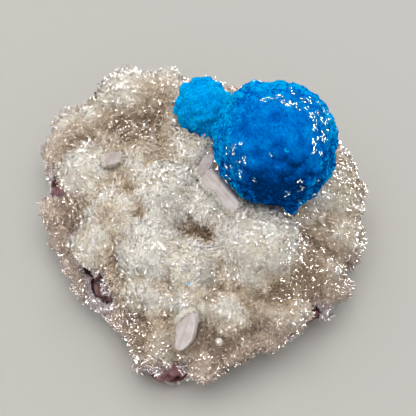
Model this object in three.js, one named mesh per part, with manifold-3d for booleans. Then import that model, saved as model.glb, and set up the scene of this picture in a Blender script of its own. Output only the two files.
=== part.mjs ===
// A cavansite specimen: two blue balls of radiating cavansite on a druse of pale stilbite, with a few
// larger stilbite tablets, on a lump of basalt that was broken flat underneath.
// Millimetres, +Z up, +Y towards the rim behind the balls. The origin is the middle of the flat underside.

import * as THREE from "three";
import { mergeVertices } from "three/addons/utils/BufferGeometryUtils.js";
import Module from "manifold-3d";

const wasm = await Module();
wasm.setup();

// Driving dimensions, in millimetres.
const BALL_RADIUS = 9.3; // the large cavansite ball, without its lobes
const SMALL_BALL_RADIUS = 4.1;
const PETALS = 13; // around the small ball's rim
const PETAL_RADIUS = 1.1;
const BALL_TIPS = 0.45; // how far single crystals stand out of a ball
const DRUSE_TIPS = 0.9; // and out of the druse
const CRYSTAL_GAP = 0.3; // between two pieces that grew against each other
const FACET_SLACK = 0.25; // extra room for a ball, because the flats of its faceted space cut inwards
const DRUSE_CLEARANCE = 0.8; // the druse's lowest crystals hang this far above the flat underside
const TABLET_BEVEL = 0.25;
const PETAL_RIM = 3.45; // how far the petals' middles are from the small ball's centre
const TUFT_OFFSET = 0.8; // sideways, of the small tuft at the small ball's near edge
const FAR_OUT = 60; // beyond every part of the specimen
const WELD = 1e-4; // corners nearer to each other than this are one

// How uneven the growth is: which share of a crust's corners stand out as a crystal's end, how far a
// corner may be out of its even place, as a share of the spacing, and a basalt corner, of its radius.
const CRYSTAL_SHARE = 1 / 3;
const CRYSTAL_SWAY = 0.5;
const BASALT_UNEVEN = 0.05;

// How finely each surface is faceted: how many times the edges of its icosahedron are cut.
const DRUSE_DETAIL = 28;
const BALL_DETAIL = 6;
const SMALL_BALL_DETAIL = 5;
const ROOM_DETAIL = 4; // the space that a ball needs in what it grew against
const SLAB_DETAIL = 2;
const BLOCK_DETAIL = 1;

// One seed for each surface keeps its chance the same every time. Each basalt block adds its number.
const SEEDS = { basalt: 11, druse: 31, ball: 5, smallBall: 7 };

// Where a piece sits and how far it reaches, as [x, y, z] and a radius or three radii.
const BALL_CENTRE = [11.2, 6.9, 26];
const SMALL_BALL_CENTRE = [0, 17.2, 18.8];
// The specimen's best side looks this way, so the small rosette and the tablets face it.
const FACING = new THREE.Vector3(0, -0.42, 0.91).normalize();

const BASALT_BLOCKS = [
  { at: [-1, 1, 3.2], radii: [20.5, 19.5, 6.8] }, // the slab that the druse grew on
  { at: [5, -8, 3.5], radii: [13.5, 11, 5.5] },
  { at: [-13.4, -8.2, 5.2], radii: [4.8, 4.4, 4.2] }, // bare along the seam at the near left
  { at: [-5.4, -20.6, 3.4], radii: [4.1, 3.6, 3.5] }, // bare at the near tip
  { at: [15.6, -11.2, 5], radii: [4.2, 3.8, 4] }, // bare at the near right
  { at: [-21.5, 8.4, 5.6], radii: [3.9, 3.8, 3.4] }, // bare on the left flank
];

// The druse's crystals point away from here, below its underside. A core around it, which is cut away
// with all that is below the underside, closes the surface where no mound is in the way.
const DRUSE_CENTRE = [-0.5, 2.5, -12];
const DRUSE_CORE_RADIUS = 6;

// The druse's filling, which carries the mounds and leaves no hollow between them and the basalt.
const DRUSE_BODY = [
  { at: [-8, 7.5, 8.5], radii: [14, 14.5, 7.6] },
  { at: [9, 6.5, 8], radii: [13.6, 14.5, 8.2] },
  { at: [-5, -6.5, 8.8], radii: [11.5, 10.5, 6.6] },
  { at: [8, -8, 8.4], radii: [12, 9, 7.2] },
  { at: [0, -14.5, 6], radii: [8.5, 7.5, 5.6] },
];

// Mounds of radiating crystals, as [x, y, z, radius].
const TOP_MOUNDS = [
  [-12.2, 22.1, 12.5, 5.2],
  [-6.1, 22.4, 13, 4.2],
  [-21.6, 18.6, 9.5, 3.1],
  [-17.3, 19.3, 10.5, 3.6],
  [-24, 14.4, 8.4, 2.9],
  [-18.9, 8.5, 12.5, 4.6],
  [-2.1, 11, 16.2, 3.6],
  [-10.9, 11.4, 14.3, 4.2],
  [-5.6, 2.8, 16, 5.2],
  [0.8, 1.4, 15.2, 4.2],
  [-23.6, 4.2, 6.6, 3.2],
  [-14.1, -0.1, 14.3, 4.2],
  [-17.3, -4.4, 12.5, 3.8],
  [-8.5, -6.7, 15.3, 5.2],
  [-2.1, -9.1, 14.8, 4.2],
  [8.3, -5.1, 14.8, 7],
  [-8.5, -12.7, 12, 4],
  [-2.1, -14.1, 12.4, 3.8],
  [20.8, 5.3, 10.5, 5.4],
  [21.6, -1.4, 9, 4.3],
  [18.6, -8.6, 9, 4],
  [13.1, -14.2, 9.6, 4],
  [4.2, -16.2, 11, 4],
  [-6.9, -19, 8.6, 4.4],
  [5.4, -19.2, 7.6, 3.6],
  [10.2, -16.8, 6, 3.1],
  [0.2, -21.6, 6.2, 3.6],
  [0.3, 22, 12, 3.7],
  [6, 20.4, 12, 3.6],
  [11.5, 18.4, 11, 5],
  [17.1, 15.6, 10, 4.6],
  [21.4, 11.4, 9.5, 3.4],
];
const SIDE_MOUNDS = [
  [21.8, -8.8, 5.6, 2.8],
  [17.8, -12.4, 5.2, 2.5],
  [12.8, -15.6, 4.2, 2.4],
  [-18.5, -8.4, 5, 2.6],
  [-15.7, -11.1, 5, 2.4],
  [-13.2, -13.5, 4.8, 2.3],
  [-10.6, -15.6, 4.6, 2.2],
  [-9.6, -18.2, 4.6, 2.4],
  [-9.2, -20.6, 3.8, 2.2],
  [-22.6, -0.2, 5, 2.7],
  [-20.6, -4.4, 5.4, 2.7],
  [-24.3, 11.6, 4.6, 2.5],
  [-22.2, 15.6, 5, 3],
  [-18.2, 19.4, 5.4, 3.4],
  [-11.5, 22.8, 5.8, 3.8],
  [-4, 24, 5.8, 3.6],
  [3.6, 23.6, 5.6, 3.6],
  [10.8, 21.4, 5.4, 3.8],
  [17.2, 17, 5.2, 3.6],
  [21.4, 11.2, 4.8, 3.4],
  [23, 4.6, 4.8, 3],
  [22.8, -2.6, 4.8, 3],
];

// Lobes on the large ball, as [x, y, z, radius] from its centre: bundles that outgrew the rest.
const BALL_LOBES = [
  [2.3, -5.9, -3, 3.2],
  [-3.2, -5.2, -3.4, 3],
  [6, -2.4, -2.4, 3.3],
  [4.6, 2.7, 3.9, 3.4],
  [-2.7, 4.7, 3.6, 3.6],
  [1, -2.8, 5.7, 3.6],
  [-6.2, 1.3, -0.6, 3.4],
  [0.5, 6.2, -1.8, 3.5],
  [2.7, -7.4, -5.7, 1.7], // tufts at its foot
  [5.9, -4.9, -6.5, 1.5],
];

// Larger crystals: where each one's middle is, its thickness, which way its length runs, which way its
// broad face looks, and the outline of that face as [across, along]. The first is two grown side by side,
// with a waist between them.
const TABLETS = {
  stilbite_tablet_beside_ball: {
    at: [2.9, 1.45, 20],
    thickness: 1.3,
    along: [0.58, -0.776, -0.25],
    facing: [-0.38, -0.55, 0.74],
    outline: [
      [-1.1, -3.7],
      [-1.3, -2.1],
      [-1.4, 0.2],
      [-1.7, 2.2],
      [-1.7, 3.2],
      [-0.9, 3.9],
      [0.4, 4],
      [1.3, 2.8],
      [1.1, 0.9],
      [1, -0.6],
      [1.9, -1.9],
      [1.6, -3.4],
      [-0.1, -4.1],
    ],
  },
  stilbite_tablet_behind: {
    at: [0.4, 6.3, 19.2],
    thickness: 1.4,
    along: [-0.42, -0.9, -0.1],
    facing: [-0.2, -0.35, 0.92],
    outline: [
      [-0.1, -2.1],
      [-0.8, -1.5],
      [-1.2, -0.3],
      [-0.9, 0.9],
      [-0.1, 2.1],
      [0.8, 2.1],
      [0.9, 0.8],
      [0.8, -0.9],
      [0.5, -1.8],
    ],
  },
  stilbite_tablet_left: {
    at: [-14.3, 8.8, 16.8],
    thickness: 1.5,
    along: [0.868, 0.45, 0.21],
    facing: [-0.1, -0.4, 0.9],
    outline: [
      [-0.3, -1.7],
      [-0.9, -0.9],
      [-1.1, 0.2],
      [-0.9, 1.1],
      [-0.2, 1.7],
      [0.5, 1.6],
      [1.1, 0.9],
      [1, -0.3],
      [0.5, -1.8],
    ],
  },
  stilbite_tablet_near: {
    at: [-2.6, -19.4, 13.4],
    thickness: 1.5,
    along: [0.37, 0.614, 0.695],
    facing: [-0.35, -0.8, 0.5],
    outline: [
      [-0.3, 3.7],
      [0.6, 3.3],
      [1.1, 2.2],
      [1.5, 0.6],
      [1.6, -0.6],
      [1.3, -1.8],
      [0.8, -2.9],
      [-0.1, -3.6],
      [-0.9, -3],
      [-1.5, -1.5],
      [-1.8, 0.2],
      [-1.9, 1.4],
      [-1.5, 2.4],
    ],
  },
};

const materials = {
  basalt: rock(0x6b4f4c, 0.9),
  druse: rock(0xd0cbbf, 0.4),
  cavansite: rock(0x0a66c8, 0.5),
  smallCavansite: rock(0x0f93dc, 0.5),
  tablet: rock(0xcbbfbd, 0.3),
};

function rock(colour, roughness) {
  return new THREE.MeshStandardMaterial({ color: colour, roughness, metalness: 0, flatShading: true });
}

// Repeatable chance: each call of the returned function gives the next number from 0 to 1.
function seeded(seed) {
  let state = seed >>> 0;
  return () => {
    state = (state + 0x6d2b79f5) >>> 0;
    let mixed = Math.imul(state ^ (state >>> 15), 1 | state);
    mixed = (mixed + Math.imul(mixed ^ (mixed >>> 7), 61 | mixed)) ^ mixed;
    return ((mixed ^ (mixed >>> 14)) >>> 0) / 4294967296;
  };
}

function merged(geometry) {
  geometry.deleteAttribute("normal");
  geometry.deleteAttribute("uv");
  return mergeVertices(geometry, WELD);
}

function toSolid(geometry) {
  const vertProperties = geometry.attributes.position.array;
  const triVerts = new Uint32Array(geometry.index.array);
  return new wasm.Manifold(new wasm.Mesh({ numProp: 3, vertProperties, triVerts }));
}

function joined(solids) {
  return solids.reduce((whole, solid) => whole.add(solid));
}

function toMesh(name, solid, material) {
  const { numProp, numVert, vertProperties, triVerts } = solid.getMesh();
  const positions = new Float32Array(numVert * 3);
  for (let i = 0; i < numVert; i++) {
    positions.set(vertProperties.subarray(i * numProp, i * numProp + 3), i * 3);
  }
  const geometry = new THREE.BufferGeometry();
  geometry.setAttribute("position", new THREE.BufferAttribute(positions, 3));
  geometry.setIndex(new THREE.BufferAttribute(triVerts, 1));
  const mesh = new THREE.Mesh(geometry, material);
  mesh.name = name;
  return mesh;
}

// A rough block: a subdivided icosahedron, stretched to three radii, with its corners a little out of place.
function block({ at, radii, detail, seed }, grown = 0) {
  const geometry = merged(new THREE.IcosahedronGeometry(1, detail));
  const position = geometry.attributes.position;
  const chance = seeded(seed);
  const corner = new THREE.Vector3();
  for (let i = 0; i < position.count; i++) {
    const stretch = 1 + BASALT_UNEVEN * (2 * chance() - 1);
    corner.fromBufferAttribute(position, i);
    const placed = corner.toArray().map((part, axis) => at[axis] + part * (radii[axis] * stretch + grown));
    position.setXYZ(i, ...placed);
  }
  return toSolid(geometry);
}

// How far the outermost of some ellipsoids, each { at, radii }, is from a centre along a direction.
function reachOf(ellipsoids, centre, direction) {
  const reaches = ellipsoids.map(({ at, radii }) => {
    const size = new THREE.Vector3(...radii);
    const start = centre.clone().sub(new THREE.Vector3(...at)).divide(size);
    const step = direction.clone().divide(size);
    const [a, b, c] = [step.dot(step), start.dot(step), start.dot(start) - 1];
    const inside = b * b - a * c;
    return inside > 0 ? (Math.sqrt(inside) - b) / a : 0;
  });
  return Math.max(...reaches);
}

// The closed surface that crystals make over some ellipsoids, as they grow out from a centre. It is a
// subdivided icosahedron, whose corners are pushed out to the outermost ellipsoid. A share of the corners
// stands about `tips` above the rest, so that the facets around each are the faces of a crystal's end.
function overgrowth({ from, ellipsoids, detail, tips = 0, grown = 0, seed }) {
  const geometry = merged(new THREE.IcosahedronGeometry(1, detail));
  const position = geometry.attributes.position;
  const chance = seeded(seed);
  const centre = new THREE.Vector3(...from);
  const sway = tips > 0 ? CRYSTAL_SWAY / (detail + 1) : 0; // breaks the even spacing
  for (let i = 0; i < position.count; i++) {
    const direction = new THREE.Vector3().fromBufferAttribute(position, i);
    const shift = new THREE.Vector3(chance() - 0.5, chance() - 0.5, chance() - 0.5);
    direction.addScaledVector(shift, sway).normalize();
    const tip = chance() < CRYSTAL_SHARE ? tips * (0.5 + chance()) : 0;
    const reach = reachOf(ellipsoids, centre, direction) + tip - tips / 2 + grown;
    position.setXYZ(i, ...centre.clone().addScaledVector(direction, reach).toArray());
  }
  return toSolid(geometry);
}

function ball(at, radius) {
  return { at, radii: [radius, radius, radius] };
}

function box(x0, y0, z0, x1, y1, z1) {
  const geometry = new THREE.BoxGeometry(x1 - x0, y1 - y0, z1 - z0);
  geometry.translate((x0 + x1) / 2, (y0 + y1) / 2, (z0 + z1) / 2);
  return toSolid(merged(geometry));
}

// Everything below a level, to cut the underside flat.
function below(z) {
  return box(-FAR_OUT, -FAR_OUT, -FAR_OUT, FAR_OUT, FAR_OUT, z);
}

// Basalt: rough blocks, broken flat underneath. The first is the slab, which is faceted more finely.
function basalt(grown = 0) {
  const blocks = BASALT_BLOCKS.map(({ at, radii }, i) =>
    block({ at, radii, detail: i < 1 ? SLAB_DETAIL : BLOCK_DETAIL, seed: SEEDS.basalt + i }, grown),
  );
  return joined(blocks);
}

// The druse before anything is cut out of it: crystals all over its filling and its mounds.
function druse() {
  const mounds = [...TOP_MOUNDS, ...SIDE_MOUNDS].map(([x, y, z, radius]) => ball([x, y, z], radius));
  const ellipsoids = [...DRUSE_BODY, ...mounds, ball(DRUSE_CENTRE, DRUSE_CORE_RADIUS)];
  const facets = { detail: DRUSE_DETAIL, tips: DRUSE_TIPS };
  const crystals = overgrowth({ from: DRUSE_CENTRE, ellipsoids, seed: SEEDS.druse, ...facets });
  return crystals.subtract(below(DRUSE_CLEARANCE));
}

// How a ball is faceted: as crystal ends, or as the plain room that it needs in what it grew against,
// which is clear of the tallest of them.
const LARGE_CRYSTALS = { detail: BALL_DETAIL, tips: BALL_TIPS };
const SMALL_CRYSTALS = { detail: SMALL_BALL_DETAIL, tips: BALL_TIPS };
const ROOM = { detail: ROOM_DETAIL, grown: BALL_TIPS + CRYSTAL_GAP + FACET_SLACK };

function largeBall(facets) {
  const [x, y, z] = BALL_CENTRE;
  const lobes = BALL_LOBES.map(([dx, dy, dz, radius]) => ball([x + dx, y + dy, z + dz], radius));
  const ellipsoids = [ball(BALL_CENTRE, BALL_RADIUS), ...lobes];
  return overgrowth({ from: BALL_CENTRE, ellipsoids, seed: SEEDS.ball, ...facets });
}

// The small rosette: a ball with petals around its rim, seen face on, and a tuft at its near edge.
function smallBall(facets) {
  const sideways = new THREE.Vector3(1, 0, 0);
  const upwards = new THREE.Vector3().crossVectors(FACING, sideways);
  const around = (across, along) =>
    new THREE.Vector3(...SMALL_BALL_CENTRE)
      .addScaledVector(sideways, across)
      .addScaledVector(upwards, along)
      .toArray();
  const petals = Array.from({ length: PETALS }, (_, i) => {
    const angle = (2 * Math.PI * i) / PETALS;
    return ball(around(PETAL_RIM * Math.cos(angle), PETAL_RIM * Math.sin(angle)), PETAL_RADIUS);
  });
  const tuft = ball(around(TUFT_OFFSET, -SMALL_BALL_RADIUS), PETAL_RADIUS);
  const ellipsoids = [ball(SMALL_BALL_CENTRE, SMALL_BALL_RADIUS), ...petals, tuft];
  return overgrowth({ from: SMALL_BALL_CENTRE, ellipsoids, seed: SEEDS.smallBall, ...facets });
}

// A tablet with bevelled rims, its length along `along` and its broad face towards `facing`. The bevel
// lies inside the outline, which grows on all sides with `grown`.
function tablet({ at, thickness, along, facing, outline }, grown = 0) {
  const depth = thickness + 2 * grown - 2 * TABLET_BEVEL;
  const corners = outline.map(([across, lengthwise]) => new THREE.Vector2(across, lengthwise));
  const geometry = new THREE.ExtrudeGeometry(new THREE.Shape(corners), {
    depth,
    bevelSize: TABLET_BEVEL,
    bevelOffset: grown - TABLET_BEVEL,
    bevelThickness: TABLET_BEVEL,
    bevelSegments: 1,
  });
  geometry.translate(0, 0, -depth / 2);
  const yAxis = new THREE.Vector3(...along).normalize();
  const zAxis = new THREE.Vector3(...facing);
  zAxis.addScaledVector(yAxis, -zAxis.dot(yAxis)).normalize();
  const xAxis = new THREE.Vector3().crossVectors(yAxis, zAxis);
  geometry.applyMatrix4(new THREE.Matrix4().makeBasis(xAxis, yAxis, zAxis).setPosition(...at));
  return toSolid(merged(geometry));
}

// Each piece gives way to those that are cut out of it, and keeps the gap to them.
function without(solid, spaces) {
  return spaces.reduce((left, space) => left.subtract(space), solid);
}

const ballRoom = largeBall(ROOM);
const smallBallRoom = smallBall(ROOM);
const tabletRooms = Object.values(TABLETS).map((shape) => tablet(shape, CRYSTAL_GAP));
const druseSpaces = [basalt(CRYSTAL_GAP), ballRoom, smallBallRoom, ...tabletRooms];

const specimen = new THREE.Group();
specimen.add(toMesh("basalt_matrix", basalt().subtract(below(0)), materials.basalt));
specimen.add(toMesh("stilbite_druse", without(druse(), druseSpaces), materials.druse));
specimen.add(toMesh("cavansite_large_ball", largeBall(LARGE_CRYSTALS), materials.cavansite));
specimen.add(
  toMesh("cavansite_small_ball", without(smallBall(SMALL_CRYSTALS), [ballRoom]), materials.smallCavansite),
);
for (const [name, shape] of Object.entries(TABLETS)) {
  specimen.add(toMesh(name, without(tablet(shape), [ballRoom, smallBallRoom]), materials.tablet));
}

export default specimen;
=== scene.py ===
# %% [markdown]
# # A cavansite specimen
# Two blue balls of cavansite sit on a crust of pale stilbite blades, which covers a lump of dark basalt.
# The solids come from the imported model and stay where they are. Each one is dressed here with what makes
# the mineral: thousands of small crystals, each with flat faces that catch the light.

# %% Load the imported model
import math

import bpy
import numpy as np
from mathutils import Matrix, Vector
from mathutils.bvhtree import BVHTree
from mathutils.kdtree import KDTree


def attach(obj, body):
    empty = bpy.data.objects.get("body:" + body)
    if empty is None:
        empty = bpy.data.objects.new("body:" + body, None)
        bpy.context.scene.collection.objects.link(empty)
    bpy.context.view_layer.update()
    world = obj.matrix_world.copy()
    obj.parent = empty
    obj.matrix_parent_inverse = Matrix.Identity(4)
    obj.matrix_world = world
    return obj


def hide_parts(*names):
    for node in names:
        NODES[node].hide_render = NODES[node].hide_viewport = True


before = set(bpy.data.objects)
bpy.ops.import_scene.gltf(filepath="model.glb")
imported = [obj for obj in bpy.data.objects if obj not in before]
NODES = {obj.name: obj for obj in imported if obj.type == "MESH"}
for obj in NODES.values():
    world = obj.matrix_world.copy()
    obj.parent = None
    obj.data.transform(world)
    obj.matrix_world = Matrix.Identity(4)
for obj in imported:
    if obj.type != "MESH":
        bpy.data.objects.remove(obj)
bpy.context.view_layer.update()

TABLET_NODES = [node for node in sorted(NODES) if node.startswith("stilbite_tablet")]
print("solids:", ", ".join(sorted(NODES)))

# %% [markdown]
# ## Camera
# The specimen is looked down on, from 65 degrees above the table, through a long lens. A long lens from
# further away keeps the shapes honest: the near crystals don't swell and the ball stays round.

# %% Camera
MM = 0.001
VIEW_ELEVATION = math.radians(65)
AIM = Vector((0.8, 1.88, 13)) * MM
FRAME_WIDTH = 66.56 * MM  # how much of the specimen's width the picture takes in at the aim
LENS, SENSOR = 150, 36
NEAREST, FURTHEST = 0.02, 20  # what the camera sees, in metres


def new_object(name, data):
    obj = bpy.data.objects.new(name, data)
    bpy.context.scene.collection.objects.link(obj)
    return obj


def aimed(name, data, direction, distance):
    """A new object that looks at the aim from some distance in a direction."""
    obj = new_object(name, data)
    obj.location = AIM + direction * distance
    obj.rotation_mode = "QUATERNION"
    obj.rotation_quaternion = (-direction).to_track_quat("-Z", "Y")
    return obj


camera_data = bpy.data.cameras.new("camera")
camera_data.lens, camera_data.sensor_width = LENS, SENSOR
camera_data.clip_start, camera_data.clip_end = NEAREST, FURTHEST
back = Vector((0, -math.cos(VIEW_ELEVATION), math.sin(VIEW_ELEVATION)))
camera = aimed("camera", camera_data, back, LENS / SENSOR * FRAME_WIDTH)
bpy.context.scene.camera = camera
print(f"camera {camera.location.length / MM:.0f} mm from the origin")

# %% [markdown]
# ## Light
# Two kinds of light together show crystals best. A wide softbox overhead and an even sky give the colours
# and soft shadows. Two low strips at the sides light nothing evenly. They are only there to be mirrored:
# each flat face that happens to turn towards one becomes a white glint.

# %% Light
SKY = (1.0, 0.97, 0.92)
SKY_STRENGTH = 0.6
LAMP_COLOUR = (1.0, 0.98, 0.94)
# name, azimuth and elevation in degrees (azimuth 0 is +X, 90 is behind), distance, width and height in m,
# brightness of its face in W per square metre and steradian, whether it is only there to be mirrored
LAMPS = [
    ("key_softbox", 90, 80, 0.65, 0.6, 0.6, 2.85, False),
    ("strip_right", 42, 16, 0.42, 0.7, 0.28, 120, True),
    ("strip_left", 214, 16, 0.42, 0.55, 0.32, 120, True),
]


def add_lamp(name, azimuth, elevation, distance, width, height, brightness, only_mirrored):
    across, up = math.radians(azimuth), math.radians(elevation)
    towards = Vector((math.cos(across) * math.cos(up), math.sin(across) * math.cos(up), math.sin(up)))
    data = bpy.data.lights.new(name, "AREA")
    data.shape, data.size, data.size_y, data.color = "RECTANGLE", width, height, LAMP_COLOUR
    data.energy = math.pi * width * height * brightness
    lamp = aimed(name, data, towards, distance)
    lamp.visible_camera = False
    lamp.visible_diffuse = not only_mirrored


for lamp_facts in LAMPS:
    add_lamp(*lamp_facts)

world = bpy.data.worlds.new("studio")
world.use_nodes = True
background = world.node_tree.nodes["Background"]
background.inputs["Color"].default_value = (*SKY, 1)
background.inputs["Strength"].default_value = SKY_STRENGTH
bpy.context.scene.world = world
# The plain transform keeps a pure blue pure. The filmic ones would pull it towards grey.
bpy.context.scene.view_settings.view_transform = "Standard"
print(len(LAMPS), "lamps")

# %% [markdown]
# ## Helpers
# Every large piece starts as a copy of its solid. Operators act on all that is selected, so each helper
# first deselects everything and then picks the one object that it works on.

# %% Helpers for objects and modifiers
def activate(obj):
    if bpy.context.object and bpy.context.object.mode != "OBJECT":
        bpy.ops.object.mode_set(mode="OBJECT")
    bpy.ops.object.select_all(action="DESELECT")
    obj.select_set(True)
    bpy.context.view_layer.objects.active = obj


def apply_modifier(obj, kind, **settings):
    activate(obj)
    modifier = obj.modifiers.new(kind.title(), kind)
    for key, value in settings.items():
        setattr(modifier, key, value)
    bpy.ops.object.modifier_apply(modifier=modifier.name)


def smooth(obj, times):
    apply_modifier(obj, "SMOOTH", factor=0.5, iterations=times)


def on_whole_mesh(obj, operator, **settings):
    """Runs one operator of edit mode on all of an object."""
    activate(obj)
    bpy.ops.object.mode_set(mode="EDIT")
    bpy.ops.mesh.select_all(action="SELECT")
    operator(**settings)
    bpy.ops.object.mode_set(mode="OBJECT")


def solid_copy(node, name):
    """A copy of a CAD node with its loose triangles merged."""
    obj = new_object(name, NODES[node].data.copy())
    obj.data.name = name
    obj.data.materials.clear()
    on_whole_mesh(obj, bpy.ops.mesh.remove_doubles, threshold=1e-6)
    return obj


def skin_of(node, name, voxel, smoothing):
    """A copy of a CAD node as one even skin, its facets smoothed away."""
    obj = solid_copy(node, name)
    apply_modifier(obj, "REMESH", mode="VOXEL", voxel_size=voxel)
    smooth(obj, smoothing)
    return obj


def dress(piece, material, node):
    """Gives a piece its material and its body, and hides the node that it stands for."""
    piece.data.materials.append(material)
    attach(piece, "root")
    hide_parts(node)


# %% Helpers for numbers on a mesh
def rows(items, field, width=3, kind=np.float32):
    """One field of all a mesh's corners or edges, a row for each."""
    found = np.empty(len(items) * width, kind)
    items.foreach_get(field, found)
    return found.reshape(-1, width)


def places(mesh):
    return rows(mesh.vertices, "co").astype(float)


def normals(mesh):
    return rows(mesh.vertex_normals, "vector").astype(float)


def set_places(mesh, points):
    mesh.vertices.foreach_set("co", np.asarray(points, np.float32).ravel())
    mesh.update()


def write_value(mesh, name, values):
    """A number or a direction at each corner, which a material reads by its name. A single number is
    written to all of them."""
    if np.ndim(values) == 0:
        values = np.full(len(mesh.vertices), values)
    kind, field = ("FLOAT", "value") if np.ndim(values) == 1 else ("FLOAT_VECTOR", "vector")
    layer = mesh.attributes.new(name, kind, "POINT")
    layer.data.foreach_set(field, np.asarray(values, np.float32).ravel())


def unit(vectors):
    return vectors / np.maximum(np.linalg.norm(vectors, axis=-1, keepdims=True), 1e-12)


def dots(first, second):
    """The dot product of each pair of rows."""
    return np.einsum("ij,ij->i", first, second)


def flattened(vectors, facing):
    """Each vector without its part along the direction that belongs to it."""
    return vectors - facing * dots(vectors, facing)[:, None]


def between(low, high, share):
    return low + (high - low) * share


def smoothstep(low, high, values):
    t = np.clip((values - low) / (high - low), 0, 1)
    return t * t * (3 - 2 * t)


def relief_of(obj, smoothing):
    """How far each corner stands out of a much smoother copy of its piece, in mm."""
    soft = new_object("soft", obj.data.copy())
    smooth(soft, smoothing)
    height = dots(places(obj.data) - places(soft.data), normals(soft.data)) / MM
    bpy.data.meshes.remove(soft.data)
    return height


# %% Helpers for what is near
def faces_of(nodes):
    """All triangles of some CAD nodes, to test what a crystal would run into."""
    corners, triangles = [], []
    for node in nodes:
        mesh = NODES[node].data
        start = len(corners)
        corners += [vertex.co for vertex in mesh.vertices]
        triangles += [[start + i for i in polygon.vertices] for polygon in mesh.polygons]
    return BVHTree.FromPolygons(corners, triangles)


def clear_way(faces, points, directions, reach):
    """For each point, how far it is clear along its direction, up to reach."""
    found = np.full(len(points), float(reach))
    for i, (point, direction) in enumerate(zip(points, directions)):
        hit = faces.ray_cast(Vector(point), Vector(direction), reach)
        if hit[0] is not None:
            found[i] = hit[3]
    return found


def distance_to(faces, points, limit):
    found = [faces.find_nearest(Vector(point), limit)[3] for point in points]
    return np.array([limit if distance is None else distance for distance in found])


def points_tree(points):
    tree = KDTree(len(points))
    for i, point in enumerate(points):
        tree.insert(point, i)
    tree.balance()
    return tree


def spread_seeds(points, spacing, order):
    """Picks points in the given order, none nearer than spacing to another."""
    tree = points_tree(points)
    covered = np.zeros(len(points), bool)
    seeds = []
    for i in order:
        if covered[i]:
            continue
        seeds.append(i)
        for _, j, _ in tree.find_range(points[i], spacing):
            covered[j] = True
    return np.array(seeds)


def nearest_seed(points, seeds):
    """The nearest seed to each point, and how far away it is."""
    tree = points_tree(seeds)
    found = [tree.find(point) for point in points]
    return np.array([hit[1] for hit in found]), np.array([hit[2] for hit in found])


def shared_out(points, spacing, chance):
    """Strews seeds over a surface and shares its corners out among them: the seeds, which of them each
    corner belongs to, and how far away it is."""
    seeds = spread_seeds(points, spacing, chance.permutation(len(points)))
    return seeds, *nearest_seed(points, points[seeds])


SWELL_REACH, SWELL_FLOOR = 0.62, -0.3


def swell_round(points, spacing, chance):
    """Rounded swellings over a surface: 1 at each seed, and below 0 between them. Also gives the seed of
    each corner."""
    seeds, which, distance = shared_out(points, spacing, chance)
    return np.clip(1 - (distance / (SWELL_REACH * spacing)) ** 2, SWELL_FLOOR, 1), seeds[which]


# %% [markdown]
# ## A crystal, and many of them
# A crystal is modelled once, with its foot at 0 and its tip at 1 on Z. It is then copied thousands of
# times into one mesh, by arithmetic on its corners: each copy gets a place, a direction, a broad side and
# three sizes. One big mesh renders quickly, and the faces stay flat, which is what glitters.

# %% One crystal, shaped
def pick_faces(obj, chosen):
    """Opens edit mode with just those faces selected for which chosen(centre, normal) is true."""
    activate(obj)
    bpy.ops.object.mode_set(mode="EDIT")
    bpy.ops.mesh.select_mode(type="FACE")
    bpy.ops.mesh.select_all(action="DESELECT")
    bpy.ops.object.mode_set(mode="OBJECT")
    for polygon in obj.data.polygons:
        polygon.select = bool(chosen(polygon.center, polygon.normal))
    bpy.ops.object.mode_set(mode="EDIT")


def crystal_shape(shoulder, tip_width, tip_depth, foot):
    """A tablet that widens from its foot to its shoulder and ends in a roof, as corners and faces.
    With its shoulder at 1 it has no roof and just ends in its tip's width and depth."""
    bpy.ops.object.select_all(action="DESELECT")
    bpy.ops.mesh.primitive_cube_add(size=1, location=(0, 0, 0.5))
    crystal = bpy.context.object
    bpy.ops.object.transform_apply(location=True)
    pick_faces(crystal, lambda centre, normal: normal.z > 0.5)
    if shoulder < 1:
        bpy.ops.transform.translate(value=(0, 0, shoulder - 1))
        bpy.ops.mesh.extrude_region_move(TRANSFORM_OT_translate={"value": (0, 0, 1 - shoulder)})
    bpy.ops.transform.resize(value=(tip_width, tip_depth, 1), center_override=(0, 0, 1))
    bpy.ops.mesh.select_all(action="SELECT")
    bpy.ops.mesh.remove_doubles(threshold=1e-4)
    pick_faces(crystal, lambda centre, normal: normal.z < -0.5)
    bpy.ops.transform.resize(value=(foot, foot, 1), center_override=(0, 0, 0))
    bpy.ops.object.mode_set(mode="OBJECT")
    corners = places(crystal.data)
    faces = sorted(tuple(polygon.vertices) for polygon in crystal.data.polygons)
    bpy.data.meshes.remove(crystal.data)
    print(f"a crystal of {len(corners)} corners and {len(faces)} faces")
    return corners, faces


# Stilbite grows as thin tablets, widest near the end, with a pointed roof. The finest are mere wedges.
STILBITE_TABLET = crystal_shape(shoulder=0.72, tip_width=0.4, tip_depth=0, foot=0.7)
STILBITE_SPLINTER = crystal_shape(shoulder=1, tip_width=0.6, tip_depth=0, foot=1)
# Cavansite grows as slim prisms with a blunt end.
CAVANSITE_PRISM = crystal_shape(shoulder=1, tip_width=0.8, tip_depth=0.7, foot=1)

# %% Many crystals in one mesh
UNEVEN_WAYS = (1, 1, 0.4)  # a crystal's corners stray less along it than across it
CLEARANCE = 0.1 * MM  # how far a crystal stays away from what it would run into
LONGEST = 4 * MM  # longer than any crystal


def varied(size, count, chance, least, spread):
    """Each crystal's width, thickness and length, from the usual ones in mm. They are least times those,
    and by chance up to spread times more."""
    return np.array(size) * MM * (least + spread * chance.random((count, 3)))


def cut_short(sizes, faces, roots, axes):
    """Makes those crystals shorter that would run into some faces."""
    sizes[:, 2] = np.minimum(sizes[:, 2], clear_way(faces, roots, axes, LONGEST) - CLEARANCE)


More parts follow.
